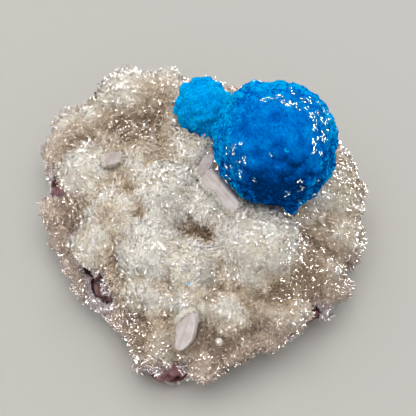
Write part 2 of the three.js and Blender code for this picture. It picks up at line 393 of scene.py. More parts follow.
def grown(name, shape, roots, axes, sizes, chance, uneven, sideways=None, **values):
    """One object of many crystals. sizes holds each one's width, thickness and length, and sideways,
    if given, is about where its broad side runs. uneven is how far its corners stray. values are what
    its material reads, one for each crystal or one for all."""
    corners, faces = shape
    count, each = len(roots), len(corners)
    wished = chance.normal(size=(count, 3)) if sideways is None else sideways
    broad = unit(flattened(wished, axes))
    thin = np.cross(axes, broad)
    own = corners[None] + uneven * (chance.random((count, each, 3)) - 0.5) * UNEVEN_WAYS
    points = roots[:, None] + sum(
        own[:, :, k, None] * sizes[:, None, k, None] * way[:, None]
        for k, way in enumerate((broad, thin, axes))
    )
    loops = np.concatenate([np.array(face) for face in faces])
    starts = np.cumsum([0] + [len(face) for face in faces[:-1]])
    mesh = bpy.data.meshes.new(name)
    mesh.vertices.add(count * each)
    mesh.loops.add(count * len(loops))
    mesh.polygons.add(count * len(faces))
    copy = np.arange(count)[:, None]
    mesh.vertices.foreach_set("co", points.astype(np.float32).ravel())
    mesh.loops.foreach_set("vertex_index", (loops + each * copy).astype(np.int32).ravel())
    mesh.polygons.foreach_set("loop_start", (starts + len(loops) * copy).astype(np.int32).ravel())
    mesh.update(calc_edges=True)
    for key, value in values.items():
        write_value(mesh, key, np.repeat(value, each, axis=0) if np.ndim(value) else value)
    write_value(mesh, "along", np.tile(corners[:, 2], count))
    triangles = count * sum(len(face) - 2 for face in faces)
    print(f"{name}: {count} crystals, {triangles} triangles")
    crystals = new_object(name, mesh)
    crystals.visible_shadow = False  # the small crystals let the light through
    return crystals


# %% [markdown]
# ## Materials
# Two effects are shared: soft clouds, which vary a colour from place to place, and fine grain, which
# roughens a surface. Both are node groups that give out plain numbers. The shader itself stays in each
# material. No surface here mirrors the lamps but the thin coat that some crystals have.

# %% Helpers for materials
MATTE = {"Roughness": 0.5, "Specular_IOR_Level": 0.0}


def coat(roughness, ior):
    return {"Coat_Weight": 1.0, "Coat_Roughness": roughness, "Coat_IOR": ior}


def new_material(name, **plain):
    """A material, its node tree and its shader, with plain values set on the shader's own sockets."""
    material = bpy.data.materials.new(name)
    print("material", name)
    material.use_nodes = True
    tree = material.node_tree
    shader = tree.nodes["Principled BSDF"]
    for key, value in {**MATTE, **plain}.items():
        shader.inputs[key.replace("_", " ")].default_value = value
    return material, tree, shader


def add_node(tree, kind, inputs=None, **settings):
    node = tree.nodes.new(kind)
    for key, value in settings.items():
        setattr(node, key, value)
    for key, value in (inputs or {}).items():
        if isinstance(value, bpy.types.NodeSocket):
            tree.links.new(value, node.inputs[key])
        else:
            node.inputs[key].default_value = value
    return node


def arithmetic(tree, operation, first, second):
    return add_node(tree, "ShaderNodeMath", {0: first, 1: second}, operation=operation).outputs[0]


def total(tree, first, *others):
    for other in others:
        first = arithmetic(tree, "ADD", first, other)
    return first


def ranged(tree, value, low, high, to_low=0.0, to_high=1.0):
    inputs = {"Value": value, "From Min": low, "From Max": high, "To Min": to_low, "To Max": to_high}
    return add_node(tree, "ShaderNodeMapRange", inputs, interpolation_type="SMOOTHSTEP").outputs["Result"]


def blended(tree, share, first, second, blend="MIX"):
    """Two colours mixed. A Mix node keeps a set of sockets for each kind of value: the colours are these."""
    whole = [v if isinstance(v, bpy.types.NodeSocket) else (*v, 1) for v in (first, second)]
    inputs = {0: share, 6: whole[0], 7: whole[1]}
    return add_node(tree, "ShaderNodeMix", inputs, data_type="RGBA", blend_type=blend).outputs[2]


def ramp(tree, value, stops):
    """A colour ramp from (position, colour) stops."""
    node = add_node(tree, "ShaderNodeValToRGB", {"Fac": value})
    elements = node.color_ramp.elements
    while len(elements) < len(stops):
        elements.new(0.5)
    for element, (position, colour) in zip(elements, stops):
        element.position, element.color = position, (*colour, 1)
    return node.outputs["Color"]


def attribute(tree, name, output="Fac"):
    return add_node(tree, "ShaderNodeAttribute", attribute_name=name).outputs[output]


def object_place(tree):
    return add_node(tree, "ShaderNodeTexCoord").outputs["Object"]


# %% How single crystals differ and how hazy they are
USUAL = 0, 0.9  # a crystal's own number goes from 0 to 1, and in this range it counts as usual
BRIGHTEST = 0.93, 0.97  # from the first to the second it turns into one of the few bright ones


def shaded(tree, colour, low, high, bright):
    """Each crystal a little darker or lighter than its neighbours, and a few of them bright: whiter crystals,
    which also stand in for faint sparkle as painted highlights.
    """
    own = attribute(tree, "own")
    shade = total(tree, ranged(tree, own, *USUAL, low, high), ranged(tree, own, *BRIGHTEST, 0, bright - high))
    grey = add_node(tree, "ShaderNodeCombineColor", {0: shade, 1: shade, 2: shade}).outputs["Color"]
    return blended(tree, 1.0, colour, grey, blend="MULTIPLY")


def softened(tree, shader):
    """Shades small crystals partly as the skin they grow from, as light that passes through them does.
    How much of that there is, each crystal says itself."""
    skin = attribute(tree, "skin", "Vector")
    turned = add_node(
        tree, "ShaderNodeVectorTransform", {"Vector": skin},
        vector_type="NORMAL", convert_from="OBJECT", convert_to="WORLD",
    ).outputs["Vector"]
    own = add_node(tree, "ShaderNodeNewGeometry").outputs["Normal"]
    inputs = {0: attribute(tree, "soft"), 4: own, 5: turned}
    mixed = add_node(tree, "ShaderNodeMix", inputs, data_type="VECTOR").outputs[1]
    normal = add_node(tree, "ShaderNodeVectorMath", {0: mixed}, operation="NORMALIZE").outputs["Vector"]
    tree.links.new(normal, shader.inputs["Normal"])


# %% The shared effects
CLOUD_RANGE = 0.3, 0.7  # the part of the noise that is stretched to 0 and 1
CLOUD_DETAIL, GRAIN_DETAIL = 3.0, 2.0


def effect_group(name, inputs, output, kind):
    """An empty node group, with its inputs' sockets and its one output's."""
    group = bpy.data.node_groups.new(name, "ShaderNodeTree")
    print("node group", name)
    for key, value in inputs.items():
        socket = group.interface.new_socket(key, in_out="INPUT", socket_type="NodeSocketFloat")
        socket.default_value = value
    group.interface.new_socket(output, in_out="OUTPUT", socket_type=kind)
    return group, group.nodes.new("NodeGroupInput").outputs, group.nodes.new("NodeGroupOutput").inputs[output]


def noise(group, size, detail):
    """Noise that stays with the piece, its lumps as wide as size."""
    scale = arithmetic(group, "DIVIDE", 1.0, size)
    inputs = {"Vector": object_place(group), "Scale": scale, "Detail": detail}
    return add_node(group, "ShaderNodeTexNoise", inputs).outputs["Fac"]


def make_clouds():
    """Soft clouds from 0 to 1 over the piece. Size is a cloud's width in metres."""
    inputs = {"Size": 0.004, "Detail": CLOUD_DETAIL}
    group, given, result = effect_group("mineral_clouds", inputs, "Cloud", "NodeSocketFloat")
    clouds = ranged(group, noise(group, given["Size"], given["Detail"]), *CLOUD_RANGE)
    group.links.new(clouds, result)
    return group


def make_grain():
    """A fine uneven surface, as a normal. Size is the grain's width and Depth its height, in metres."""
    inputs = {"Size": 0.0003, "Depth": 0.00002}
    group, given, result = effect_group("mineral_grain", inputs, "Normal", "NodeSocketVector")
    inputs = {"Height": noise(group, given["Size"], GRAIN_DETAIL), "Distance": given["Depth"]}
    group.links.new(add_node(group, "ShaderNodeBump", inputs).outputs["Normal"], result)
    return group


CLOUDS, GRAIN = make_clouds(), make_grain()


def cloud(tree, size, detail=CLOUD_DETAIL):
    return add_node(tree, "ShaderNodeGroup", {"Size": size, "Detail": detail}, node_tree=CLOUDS).outputs[0]


def make_clouded(name, clouds, stops, grain, **plain):
    """A surface with clouds of colour, of some size and detail, and grain of some size and depth."""
    material, tree, shader = new_material(name, **plain)
    tree.links.new(ramp(tree, cloud(tree, *clouds), stops), shader.inputs["Base Color"])
    rough = add_node(tree, "ShaderNodeGroup", {"Size": grain[0], "Depth": grain[1]}, node_tree=GRAIN)
    tree.links.new(rough.outputs[0], shader.inputs["Normal"])
    return material


# %% [markdown]
# ## Stilbite's colour
# Where crystals stand high they are clean and greenish white. Down between them iron stains them tan and
# brown. Low on the flanks they turn pinkish, and close to the basalt lavender grey. So the colour follows
# a few numbers: how high a place stands out, how near the table and the basalt it is, and a little chance
# for each crystal.
# Round the balls' feet the darkening is painted shade, and a few listed places add painted shade and painted
# light.

# %% Stilbite's materials
STILBITE_STOPS = [
    (0.0, (0.26, 0.19, 0.13)), (0.15, (0.42, 0.34, 0.24)), (0.4, (0.585, 0.49, 0.375)),
    (0.7, (0.7, 0.635, 0.53)), (1.0, (0.85, 0.845, 0.79)),
]
PINKISH_STOPS = [
    (0.0, (0.26, 0.185, 0.13)), (0.15, (0.42, 0.325, 0.25)), (0.4, (0.59, 0.48, 0.385)),
    (0.7, (0.72, 0.63, 0.56)), (1.0, (0.85, 0.81, 0.79)),
]
PEACH_STOPS = [(0.0, (0.6, 0.44, 0.36)), (1.0, (0.9, 0.76, 0.68))]
FLANK_PINK = (0.4, 0.315, 0.28)
FLANK_FADE, FLANK_SHARE = (15 * MM, 5 * MM), 0.75  # from which height to which it sets in, and how far
BASALT_GREY = (0.44, 0.385, 0.41)
STAIN_SIZE, STAIN_SHARE = 5 * MM, 0.3
TIP_SHARE = 0.35  # how much higher in the ramp a crystal's tip is than its foot
STILBITE_SHIFT = -0.34  # brings their sum back into the ramp
STILBITE_SHADES = 0.84, 1.04, 1.22  # the darkest, the lightest usual and the few bright crystals


def make_stilbite(name, stops, soft=True, **plain):
    material, tree, shader = new_material(name, **plain)
    stained = arithmetic(tree, "MULTIPLY", cloud(tree, STAIN_SIZE), STAIN_SHARE)
    tip = arithmetic(tree, "MULTIPLY", attribute(tree, "along"), TIP_SHARE)
    colour = ramp(tree, total(tree, attribute(tree, "height"), stained, tip, STILBITE_SHIFT), stops)
    z = add_node(tree, "ShaderNodeSeparateXYZ", {0: object_place(tree)}).outputs["Z"]
    flank = arithmetic(tree, "MULTIPLY", ranged(tree, z, *FLANK_FADE), FLANK_SHARE)
    colour = blended(tree, flank, colour, FLANK_PINK)
    colour = blended(tree, attribute(tree, "rock"), colour, BASALT_GREY)
    tree.links.new(shaded(tree, colour, *STILBITE_SHADES), shader.inputs["Base Color"])
    if soft:
        softened(tree, shader)
    return material


STILBITE_BODY = make_stilbite(
    "stilbite_body", STILBITE_STOPS, soft=False,
    Subsurface_Weight=1.0, Subsurface_Scale=0.8 * MM, Subsurface_Radius=(1.0, 0.9, 0.75),
)
STILBITE = make_stilbite("stilbite", STILBITE_STOPS)
STILBITE_SUGARY = make_stilbite("stilbite_sugary", STILBITE_STOPS, **coat(0.06, 1.3))
STILBITE_PINKISH = make_stilbite("stilbite_pinkish", PINKISH_STOPS, **coat(0.06, 1.3))
STILBITE_GLASSY = make_stilbite("stilbite_glassy", PINKISH_STOPS, **coat(0.05, 1.4))
STILBITE_PEACH = make_stilbite("stilbite_peach", PEACH_STOPS, **coat(0.06, 1.3))

# %% [markdown]
# ## The druse
# The crust is a copy of its solid as an even skin. On the real object each mound is a rosette: its blades
# started at one point deep inside and fan out from there. On its top they stand level and close. Round its
# margin they part into sheaves, and their ends are spikes. So the mounds' tops are found first, as the
# places that are higher than all round them. The blades then point away from below their own top and, a
# little, from below the middle of their own sheaf.

# %% Where the druse is stained, and where shade and light are painted on it
# where more iron has settled: a place and a radius in mm, and how far it pulls the colour down. Below
# zero, it is a place with cleaner crystals. Some are painted shade and light instead: (23, 5, 14) is painted
# shade on the shadowed right slope beside the large ball, and (17.9, 0.6, 13) is painted light that lifts
# the large ball's cast shadow.
STAINS_AND_PAINTED_SHADE = [
    ((-11.9, 16.6, 14.5), 3.0, 0.7), ((-10.9, 13.5, 17.7), 2.8, 1.3),
    ((-0.1, -3.9, 14.1), 2.0, 0.6), ((12, -12.6, 13.6), 2.6, 0.9),
    ((5.8, -21.5, 9.9), 4.5, 0.4), ((-9.1, -17.7, 11), 2.4, 0.8), ((-15.4, -9.7, 9.5), 2.0, 0.6),
    ((-3, 12, 17), 2.5, 0.4), ((-6.1, 21, 16.5), 3.5, 0.6), ((-4.6, -14.6, 13.4), 2.0, -0.7),
    ((-8.1, -14.4, 13.0), 1.6, -0.6), ((23, 5, 14), 3.5, 0.3), ((17.5, -10.5, 13), 3.0, 0.9),
    ((17.9, 0.6, 13), 2.5, -0.3), ((-24.8, 3, 9.1), 4.0, 0.3), ((-13.3, 10.4, 16.6), 2.4, 0.4),
    ((-15.4, -1.0, 17.9), 2.2, 0.5), ((-3.6, -1.1, 18.6), 1.8, -0.5), ((-2.1, -1.7, 14.2), 1.8, -0.4),
    ((2.7, -9.5, 14.5), 1.8, -0.4), ((10.6, -17.3, 8.7), 2.5, -0.5), ((-9.8, -21.2, 10.1), 2.2, 0.4),
]
WHITE_HEIGHT = 20 * MM  # above this height the crust is at its whitest
DARK_DROP = 11 * MM  # this far below it, it is at its darkest
# painted shade: the crust is darker this close to the balls, where their shade falls
BALL_SHADE = 2 * MM  # how far round the balls it is darker
ROCK_TINT = 0.6 * MM, 2.2 * MM  # closer to the rock it is all grey, and further away not at all

neighbours = faces_of([node for node in NODES if node != "stilbite_druse"])
balls = faces_of([node for node in NODES if node.startswith("cavansite")])
basalt_faces = faces_of(["basalt_matrix"])
# the listed places: stains, cleaner spots, and some painted shade and painted light
print(len(STAINS_AND_PAINTED_SHADE), "stained or clean places")


def ranks(values):
    """Each value's rank, from 0 for the lowest to 1 for the highest."""
    return np.argsort(np.argsort(values)) / (len(values) - 1)


def druse_colours(points, height, fine, bulge, swell):
    """How light the crust is at each corner of the skin: how clean its crystals are, darker lower down, with
    painted shade near the balls and at some listed places, and how much of the basalt's grey they take.
    """
    low = smoothstep(0, DARK_DROP, WHITE_HEIGHT - points[:, 2])
    # painted shade round the balls' feet
    ball_painted_shade = 1 - distance_to(balls, points, BALL_SHADE) / BALL_SHADE
    tall = ranks(0.4 * height + 0.6 * fine + 0.3 * bulge + 0.3 * swell - 1.6 * low - 1.2 * ball_painted_shade)
    # the listed places: stains, cleaner spots, and some painted shade and painted light
    for place, radius, depth in STAINS_AND_PAINTED_SHADE:
        tall -= depth * np.exp(-(np.linalg.norm(points / MM - place, axis=1) / radius) ** 2)
    rock = 1 - smoothstep(*ROCK_TINT, distance_to(basalt_faces, points, ROCK_TINT[1]))
    return np.clip(tall, 0, 1), rock


# %% The druse's skin, its mounds and its sheaves
DRUSE_VOXEL = 0.36 * MM
DRUSE_SINK = 0.35 * MM  # how far the skin lies below the solid, which leaves the crystals room
DRUSE_SMOOTHING, COARSE_RELIEF, FINE_RELIEF = 50, 700, 200  # rounds of smoothing
UNDERSIDE_FACING, UNDERSIDE_HEIGHT = -0.4, 2 * MM
CLEAR_OF_NEIGHBOURS = 1.1 * MM
MOUND_SPACING = 3.6 * MM  # no two mounds' tops are nearer to each other
MOUND_DEPTH = 4.5 * MM  # how far below its top a mound's blades start
MOUND_MARGIN = 0.03, 0.35  # how far the skin turns from the top to the margin, as one less the cosine
MOUND_LEVELLING = 0.6  # how much of the mounds' relief is taken off on the upper side
UPPER_SIDE = 0.2, 0.7  # how far up a place looks there
TOP_SIZE = 1.2 * MM  # nearer than this to a mound's top, the blades lean less
ROSETTE_SPACING, ROSETTE_RISE = 3.0 * MM, 0.3 * MM
SHEAF_SPACING, SHEAF_DEPTH = 1.5 * MM, 1.5 * MM
SHEAF_RISE = 0.15 * MM, 0.35 * MM  # on a mound's top and at its margin
FLANK = 15 * MM, 7 * MM  # from the first height down to the second, the crystals turn less hazy


def local_tops(mesh, height):
    """The corners that no corner next to them stands above."""
    one, other = rows(mesh.edges, "vertices", 2, np.int32).T
    beaten = np.zeros(len(height), bool)
    beaten[one[height[one] < height[other]]] = True
    beaten[other[height[other] < height[one]]] = True
    return ~beaten


def make_druse_skin(chance):
    """The skin, and what its blades need to know of each of its corners."""
    skin = skin_of("stilbite_druse", "stilbite_crust", DRUSE_VOXEL, DRUSE_SMOOTHING)
    height, fine = relief_of(skin, COARSE_RELIEF), relief_of(skin, FINE_RELIEF)
    points, facing = places(skin.data), normals(skin.data)
    room = clear_way(neighbours, points, facing, CLEAR_OF_NEIGHBOURS)
    underside = (facing[:, 2] < UNDERSIDE_FACING) & (points[:, 2] < UNDERSIDE_HEIGHT)
    outer = (room >= CLEAR_OF_NEIGHBOURS) & ~underside
    tops = np.where(outer & local_tops(skin.data, height))[0]
    tops = tops[spread_seeds(points[tops], MOUND_SPACING, np.argsort(-height[tops]))]
    top = tops[nearest_seed(points, points[tops])[0]]
    margin = smoothstep(*MOUND_MARGIN, 1 - dots(facing, facing[top]))
    bulge, _ = swell_round(points, ROSETTE_SPACING, chance)
    swell, sheaf = swell_round(points, SHEAF_SPACING, chance)
    rise = between(*SHEAF_RISE, margin)
    levelled = MOUND_LEVELLING * smoothstep(*UPPER_SIDE, facing[:, 2]) * np.clip(fine, -1.0, 1.0) * MM
    lift = rise * swell + ROSETTE_RISE * bulge - levelled - DRUSE_SINK
    set_places(skin.data, points + facing * np.where(outer, lift, 0)[:, None])
    print(f"druse: {len(points)} corners, {len(tops)} mounds, {len(np.unique(sheaf))} sheaves")
    tall, rock = druse_colours(points, height, fine, bulge, swell)
    outwards = flattened(points - points[top], facing)
    facts = {
        "outer": outer, "margin": margin, "facing": facing, "tall": tall, "rock": rock,
        "soft": 0.85 - 0.3 * margin - 0.3 * smoothstep(*FLANK, points[:, 2]),
        "mound_start": points[top] - facing[top] * MOUND_DEPTH,
        "sheaf_start": points[sheaf] - facing[sheaf] * SHEAF_DEPTH,
        "outwards": outwards / np.maximum(np.linalg.norm(outwards, axis=1, keepdims=True), TOP_SIZE),
    }
    return skin, facts


def dress_druse(piece, material):
    dress(piece, material, "stilbite_druse")


chance = np.random.default_rng(21)
druse_skin, druse = make_druse_skin(chance)
skin_values = {"height": druse["tall"], "rock": druse["rock"], "own": 0.5, "along": 0.3}
for key, value in skin_values.items():
    write_value(druse_skin.data, key, value)
dress_druse(druse_skin, STILBITE_BODY)

# %% [markdown]
# ## The druse's blades
# Three kinds of blades grow on that skin. Short splinters turned every way make the sugary grain, and cover
# most of it. Long spikes follow the rosette and its sheaves, and stand out round its margins. Larger tablets
# stand clear of both, with flat faces that mirror a strip of light: they make most of the white glints. Each
# blade is cut short where it would run into the rock or a ball.

# %% Making blades
# what a blade's corners are told of the place that it grows from
BLADE_VALUES = {"height": "tall", "rock": "rock", "skin": "facing", "soft": "soft"}
BLADE_JITTER = 0.3 * DRUSE_VOXEL
SHORTEST_BLADE = 0.2 * MM
ABOVE_TABLE = 0.35 * MM


def make_blades(name, shape, materials, chance, shares, size, stand, lift, lay, tilt, flat, uneven):
    """Blades on a share of the skin's corners, in a piece for each material. size, stand and lift are in mm.
    shares and stand, how far the blades stand out, are given for a mound's top and for its margin. lift
    raises them off the skin, lay leans them away from the mound's top, tilt scatters their directions, and
    flat turns their broad sides up."""
    margin = druse["margin"]
    picked = np.where(druse["outer"] & (chance.random(len(margin)) < between(*shares, margin)))[0]
    count = len(picked)
    skin_points = places(druse_skin.data)[picked] + chance.normal(size=(count, 3)) * BLADE_JITTER
    fan = unit(skin_points - druse["mound_start"][picked])
    sheaf = unit(skin_points - druse["sheaf_start"][picked])
    facing = druse["facing"][picked]
    axes = 0.5 * fan + 0.35 * sheaf + 0.25 * facing + lay * druse["outwards"][picked]
    axes = unit(axes + tilt * chance.normal(size=(count, 3)))
    scale = np.exp(0.25 * chance.normal(size=(count, 1)))
    sizes = np.array(size) * MM * scale * (0.75 + 0.5 * chance.random((count, 3)))
    out = between(*(np.array(stand) * MM), margin[picked]) * (0.6 + 0.8 * chance.random(count))
    foot = skin_points + lift * MM * facing - axes * (sizes[:, 2] - out)[:, None]
    cut_short(sizes, neighbours, foot, axes)
    tip_z = foot[:, 2] + axes[:, 2] * sizes[:, 2]
    keep = (sizes[:, 2] > SHORTEST_BLADE) & (tip_z > ABOVE_TABLE) & (foot[:, 2] > ABOVE_TABLE)
    sideways = flat * np.cross(axes, (0, 0, 1)) + (1 - flat) * chance.normal(size=(count, 3))
    own = chance.random(count)
    for k, material in enumerate(materials):
        part = np.where(keep)[0][k::len(materials)]
        values = {key: druse[source][picked[part]] for key, source in BLADE_VALUES.items()}
        piece_name = name if len(materials) == 1 else f"{name}_{k + 1}"
        piece = grown(
            piece_name, shape, foot[part], axes[part], sizes[part], chance, uneven, sideways[part],
            own=own[part], **values,
        )
        dress_druse(piece, material)


# %% The three kinds of blades
make_blades(
    "stilbite_splinters", STILBITE_SPLINTER, (STILBITE, STILBITE_SUGARY), chance, shares=(0.8, 0.8),
    size=(0.26, 0.18, 0.45), stand=(0.1, 0.25), lift=0.06, lay=0.3, tilt=1.0, flat=0.2, uneven=0.3,
)
make_blades(
    "stilbite_spikes", STILBITE_TABLET, (STILBITE_PINKISH,), chance, shares=(0.06, 0.22),
    size=(0.24, 0.14, 1.3), stand=(0.2, 0.55), lift=0, lay=0.6, tilt=0.2, flat=0.5, uneven=0.06,
)
make_blades(
    "stilbite_tablets", STILBITE_TABLET, (STILBITE_GLASSY,), chance, shares=(0.12, 0.14),
    size=(0.34, 0.12, 1.0), stand=(0.4, 0.5), lift=0.4, lay=0.2, tilt=1.0, flat=0.6, uneven=0.02,
)

# %% [markdown]
# ## Cavansite
# Each ball is a dense fan of slim prisms, all pointing away from its middle. Their blunt ends make the
# velvety surface. Bundles of them outgrow their neighbours a little, which gives the fine bumps. Round
# the sides the bundles stand further apart, like shingles. A few larger crystals lie flat on the surface.
# They are the ones that flash. The blue holds painted shade on the front and underside, and painted
# # light round the upper sides.

# %% Cavansite's materials
SPECKLE = 0.5  # how much lighter or darker than the rest the most different crystals are
BLUE_CLOUD, BLUE_SHARE = 2.5 * MM, 0.3
CAVANSITE_SHIFT = -0.15
DEEP = [
    (0.0, (0.0, 0.035, 0.16)), (0.25, (0.0, 0.07, 0.34)), (0.5, (0.0, 0.13, 0.58)),
    (0.8, (0.0, 0.26, 0.78)), (1.0, (0.0, 0.42, 0.88)),
]
DEEP_CLEAR = [(0.0, (0.0, 0.18, 0.5)), (0.5, (0.0, 0.27, 0.72)), (1.0, (0.01, 0.4, 0.86))]
BRIGHT = [(0.0, (0.0, 0.2, 0.6)), (0.5, (0.0, 0.32, 0.86)), (1.0, (0.002, 0.5, 0.94))]


def make_cavansite(name, stops, soft=True, **plain):
    material, tree, shader = new_material(name, **plain)
    clouded = arithmetic(tree, "MULTIPLY", cloud(tree, BLUE_CLOUD), BLUE_SHARE)
    speckle = ranged(tree, attribute(tree, "own"), 0, 1, -SPECKLE, SPECKLE)
    height = total(tree, clouded, attribute(tree, "height"), speckle, CAVANSITE_SHIFT)
    tree.links.new(ramp(tree, height, stops), shader.inputs["Base Color"])
    if soft:
        softened(tree, shader)
    return material


# each ball's skin, its velvet and its larger crystals
DEEP_BLUES = (
    make_cavansite("cavansite_deep_core", DEEP, soft=False),
    make_cavansite("cavansite_deep", DEEP),
    make_cavansite("cavansite_deep_glassy", DEEP_CLEAR, **coat(0.05, 1.6)),
)
SKY_BLUES = (
    make_cavansite("cavansite_sky_core", BRIGHT, soft=False),
    make_cavansite("cavansite_sky", BRIGHT),
    make_cavansite("cavansite_sky_glassy", BRIGHT, **coat(0.1, 1.2)),
)

# %% A ball's skin
FACING = unit(np.array((0, -0.42, 0.91)))  # the smooth side of both balls
UPHILL = unit(np.array((0, 0.91, 0.42)))  # across that side, towards the back
PALE_PATCH = unit(np.array((0.07, -0.6, 0.8)))  # a small lighter spot on the large ball
PATCH_SIZE = 0.002  # as one less the cosine of its half angle
# Where four things set in and where they are full: one less the cosine from the smooth side, and the
# cosines from downhill, from the front and from uphill. The last two are painted shade on the front and
# underside, and painted light round the upper sides, where the light from above falls.
ROUGH_SIDES, ROUGH_FOOT, PAINTED_SHADE_FRONT, PAINTED_LIGHT_BACK = (0.15, 0.95), (0.1, 0.6), (0.7, 1.0), (-0.5, 0.3)
BRIGHTEST_BLUE = 1.3


def make_ball_core(node, name, voxel, smoothing, sink, bundles, rises, calm, shade, patch_at, chance):
    """The ball's skin, with its bundles. calm is how much of their height is left on the smooth side, and
    shade how much painted shade darkens its front and underside, and painted light lightens its uphill side."""
    core = skin_of(node, name + "_core", voxel, smoothing)
    points, outward = places(core.data), normals(core.data)
    rough = smoothstep(*ROUGH_SIDES, 1 - outward @ FACING)
    lumpy = np.maximum(rough, 0.6 * smoothstep(*ROUGH_FOOT, -outward @ UPHILL))
    wide, narrow = [swell_round(points, bundle, chance)[0] for bundle in bundles]
    lift = (rises[0] * wide + rises[1] * narrow) * between(calm, 1, lumpy)
    set_places(core.data, points + outward * (lift - sink)[:, None])
    # painted shade: the front and underside darker, where less light falls
    low = smoothstep(*PAINTED_SHADE_FRONT, -outward[:, 1])
    patch = np.exp(-((1 - outward @ patch_at) / PATCH_SIZE) ** 2)
    # painted light: the upper sides lighter, where the light from above falls
    rim = rough * smoothstep(*PAINTED_LIGHT_BACK, outward @ UPHILL)
    tall = 0.5 + 0.2 * wide * (0.3 + lumpy) + 0.08 * narrow + 0.22 * rim + 0.9 * patch
    # painted light uphill and painted shade on the front, as strong as shade says
    tall += shade * (0.2 * outward @ UPHILL - low)
    tall = np.clip(tall, 0, BRIGHTEST_BLUE)
    write_value(core.data, "height", tall)
    write_value(core.data, "own", 0.4)
    return core, tall, rough


# %% A ball's velvet
def make_velvet(core, name, tall, rough, even, voxel, size, chance):
    """The slim prisms that cover a ball: nearly level on its smooth side, uneven round its sides. even is
    how different they still are on the smooth side."""
    points, outward = places(core.data), normals(core.data)
    count = len(points)
    length = size[2] * MM
    middle = (points.min(0) + points.max(0)) / 2
    lean = (0.06 + 0.25 * rough)[:, None] * chance.normal(size=(count, 3))
    axes = unit(0.3 * unit(points - middle) + 0.7 * outward + lean)
    aside = flattened(chance.normal(size=(count, 3)) * 0.25 * voxel, outward)
    roots = points + aside - axes * length * 0.5
    sizes = varied(size, count, chance, least=0.7, spread=0.6)
    sizes[:, 2] = length * (0.97 + 0.06 * chance.random(count) + 0.5 * rough * chance.random(count))
    sideways = np.cross(outward, FACING) + 0.35 * chance.normal(size=(count, 3))
    differ = between(even, 1, rough)
    own = 0.5 + (chance.random(count) - 0.5) * differ
    return grown(
        name + "_crystals", CAVANSITE_PRISM, roots, axes, sizes, chance, uneven=0.1, sideways=sideways,
        height=tall, own=own, skin=outward, soft=0.85 - 0.55 * differ,
    )


# %% A ball's larger crystals
# where they lie round it: start and width in degrees, and the cosine of how far towards the middle of the
# smooth side they reach
FLASH_ARCS = (-22, 118, 0.8), (165, 65, 0.88), (292, 20, 0.82)
FLASH_LOWEST = 0.4  # the cosine of how far down the sides they lie
CLUSTER = 3  # how many of them lie together


def make_flashes(core, name, tall, clusters, size, stand, chance):
    """Larger crystals that lie flat on a ball's shoulders, with their broad faces outwards. They lie in
    small clusters, and those of one cluster face nearly the same way."""
    points, outward = places(core.data), normals(core.data)
    away = outward @ FACING
    round_it = np.degrees(np.arctan2(outward @ np.cross(FACING, (1, 0, 0)), outward[:, 0])) % 360
    in_arc = sum(((round_it - start) % 360 < width) & (away < most) for start, width, most in FLASH_ARCS) > 0
    shoulder = np.where((away > FLASH_LOWEST) & in_arc)[0]
    middles = chance.choice(shoulder, clusters, replace=False)
    tree = points_tree(points)
    near = [[hit[1] for hit in tree.find_n(points[middle], 4 * CLUSTER)] for middle in middles]
    picked = np.array([chance.choice(hits, CLUSTER, replace=False) for hits in near]).ravel()
    count, thick = len(picked), size[1] * MM
    shared = np.repeat(outward[middles] + 0.2 * chance.normal(size=(clusters, 3)), CLUSTER, axis=0)
    outward = unit(0.5 * unit(shared) + 0.5 * outward[picked] + 0.08 * chance.normal(size=(count, 3)))
    along = unit(np.cross(outward, FACING) + 0.25 * chance.normal(size=(count, 3)))
    along = unit(flattened(along, outward))
    sizes = varied(size, count, chance, least=0.4, spread=0.8)
    sizes[:, 1] = thick
    roots = points[picked] + outward * (stand - thick / 2) - along * sizes[:, 2:] / 2
    return grown(
        name + "_flashes", CAVANSITE_PRISM, roots, along, sizes, chance, uneven=0.02,
        sideways=np.cross(along, outward), height=tall[picked], own=chance.random(count), skin=outward,
        soft=0.8,
    )


# %% The two balls
def make_ball(node, name, materials, chance, voxel, skin, velvet, flashes):
    core, tall, rough = make_ball_core(node, name, voxel, chance=chance, **skin)
    crystals = make_velvet(core, name, tall, rough, voxel=voxel, chance=chance, **velvet)
    larger = make_flashes(core, name, tall, chance=chance, **flashes)
    for piece, material in zip((core, crystals, larger), materials):
        dress(piece, material, node)


make_ball(
    "cavansite_large_ball", "cavansite_large", DEEP_BLUES,
    chance=np.random.default_rng(5), voxel=0.33 * MM,
    skin=dict(
        smoothing=50, sink=0.45 * MM, bundles=(2.0 * MM, 0.8 * MM), rises=(0.45 * MM, 0.12 * MM),
        calm=0.05, shade=0.65, patch_at=PALE_PATCH,
    ),
    velvet=dict(even=0.15, size=(0.58, 0.32, 0.6)),
    flashes=dict(clusters=75, size=(0.22, 0.2, 0.55), stand=0.52 * MM),
)
make_ball(
    "cavansite_small_ball", "cavansite_small", SKY_BLUES,
    chance=np.random.default_rng(6), voxel=0.24 * MM,
    skin=dict(
        smoothing=30, sink=0.25 * MM, bundles=(1.6 * MM, 0.6 * MM), rises=(0.5 * MM, 0.12 * MM),
        calm=0.12, shade=0.0, patch_at=UPHILL,
    ),
    velvet=dict(even=0.5, size=(0.4, 0.26, 0.5)),
    flashes=dict(clusters=6, size=(0.2, 0.15, 0.45), stand=0.32 * MM),
)

# %% [markdown]
# ## The larger tablets
# A large stilbite tablet is flat and pearly. It grew as a sheaf of thin layers, which leaves fine steps
# along its broad faces and a slightly raised rim round them. The solid already has the outline and the
# bevels, so only its broad faces are worked on: they are inset to make the rim, cut lengthwise into
# strips, and the cuts are raised and lowered a little. Real edges catch light better than a bump would.

